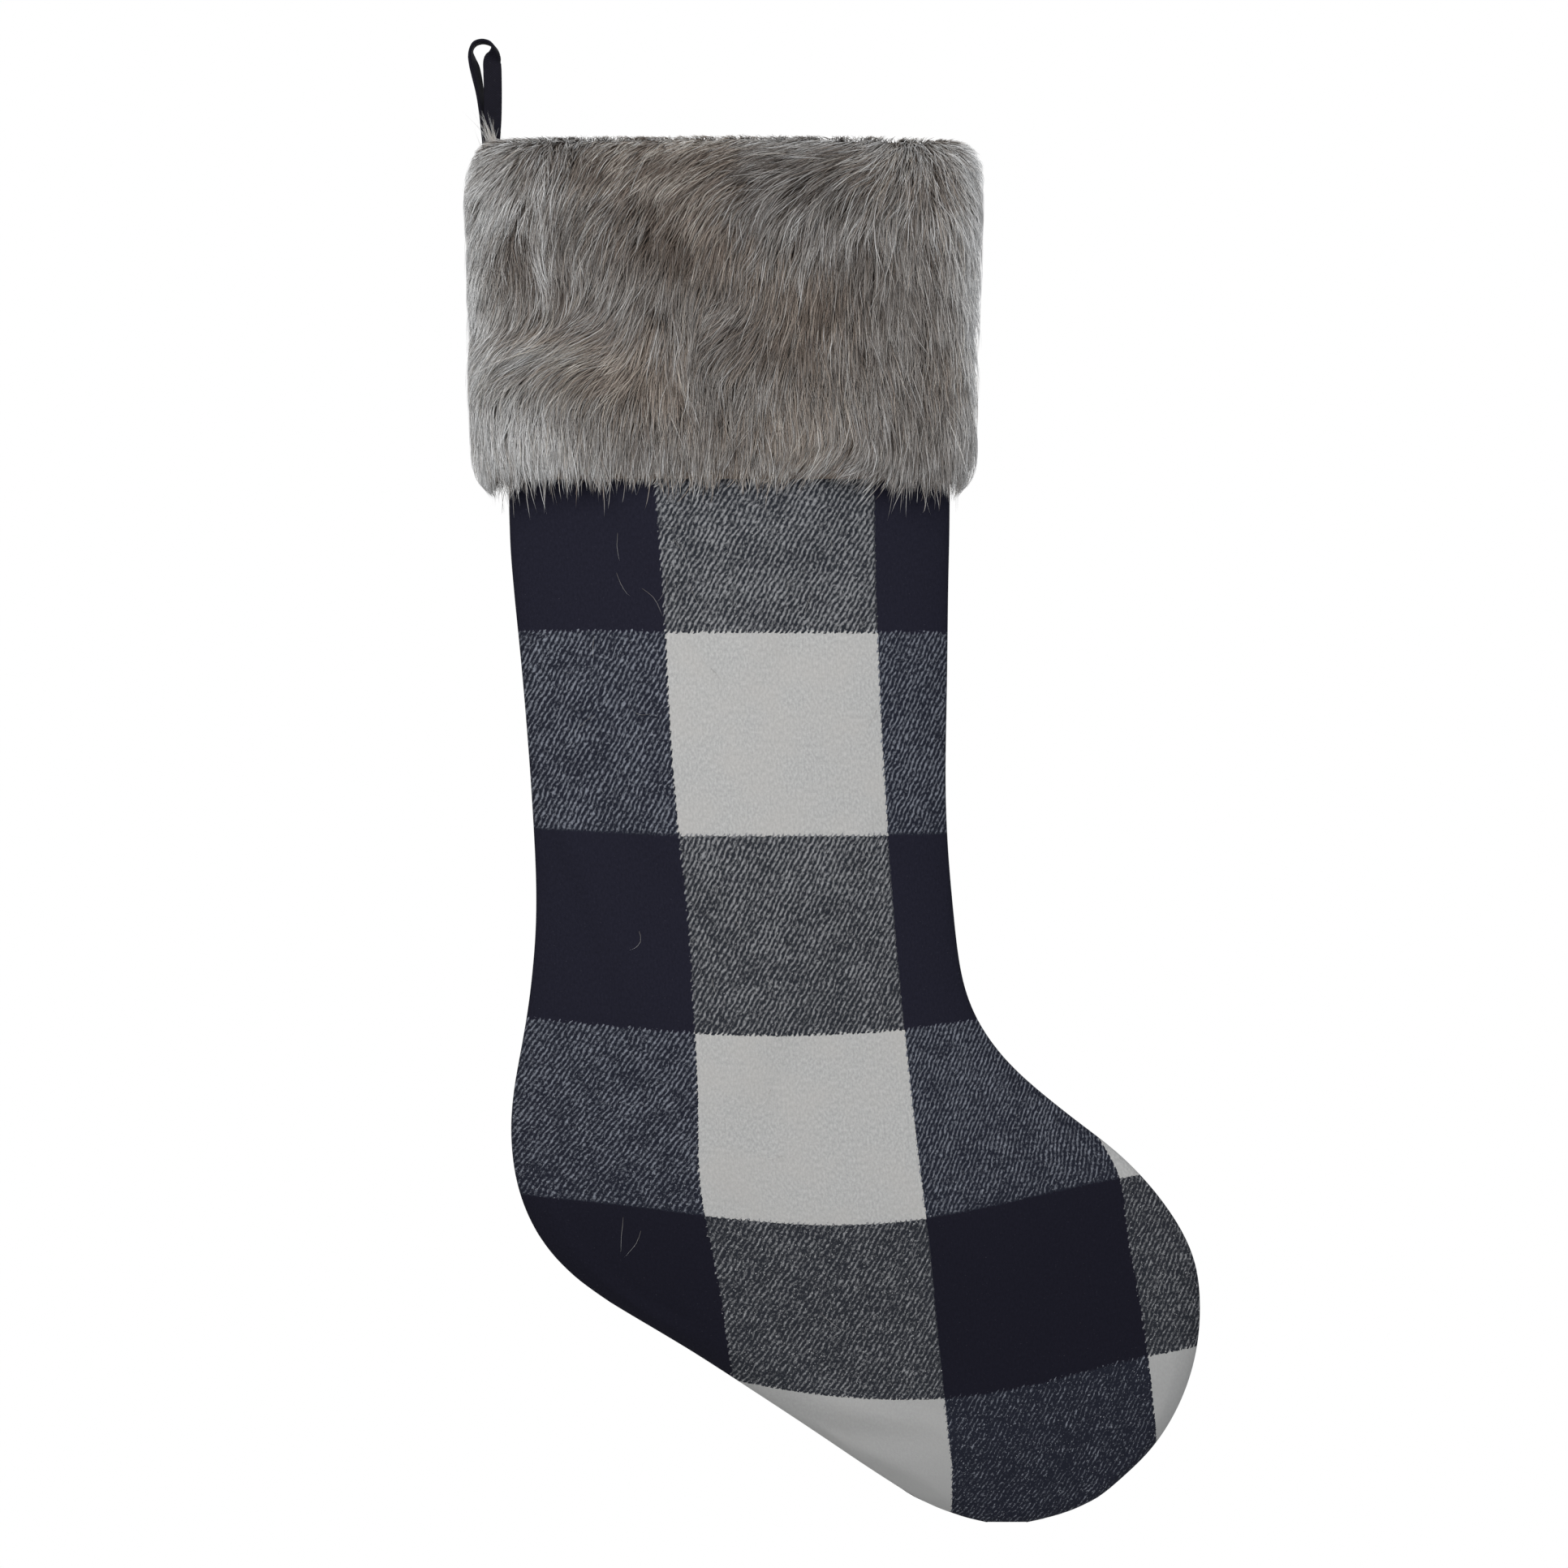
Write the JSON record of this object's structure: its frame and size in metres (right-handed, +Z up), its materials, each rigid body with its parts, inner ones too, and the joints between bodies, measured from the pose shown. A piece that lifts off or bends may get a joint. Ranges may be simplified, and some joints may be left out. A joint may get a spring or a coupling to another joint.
{
  "type": "hanging stocking",
  "caption": "Lined seasonal stocking in buffalo-check cloth with a long-pile faux-fur cuff, an open mouth and a fabric loop that flexes where it is sewn to the cuff.",
  "frame": {"origin": "centre of the hanging loop's eye, where the hook or peg passes through", "axes": "+Z up along the leg, +X towards the toe, -Y the front, +Y the wall behind"},
  "size_m": [0.2714, 0.05, 0.5482],
  "materials": {
    "plaid_cloth": "brushed wool-look buffalo check, matt with short fuzz",
    "lining_cloth": "plain woven, matt",
    "faux_fur": "long-pile plush, soft sheen, darker at the roots",
    "binding_tape": "folded twill tape, matt",
    "loop_strip": "folded brushed cloth strip, matt",
    "dark_thread": "spun polyester thread",
    "pale_thread": "spun polyester thread"
  },
  "bodies": {
    "loop": {"hanging_loop": "loop_strip"},
    "stocking": {"loop_tab": "loop_strip", "loop_stitches": "dark_thread", "outer_front": "plaid_cloth", "outer_back": "plaid_cloth", "outer_seam_thread": "dark_thread", "lining_front": "lining_cloth", "lining_back": "lining_cloth", "lining_seam_thread": "pale_thread", "cuff_front": "faux_fur", "cuff_back": "faux_fur", "cuff_seam_thread": "dark_thread", "mouth_binding": "binding_tape", "mouth_stitches": "pale_thread"}
  },
  "joints": [
    {"name": "loop_flex", "type": "hinge", "parent": "loop", "child": "stocking", "pos_m": [0.003, 0, -0.0315], "axis": [1, 0, 0], "range_deg": [-75, 75]}
  ]
}
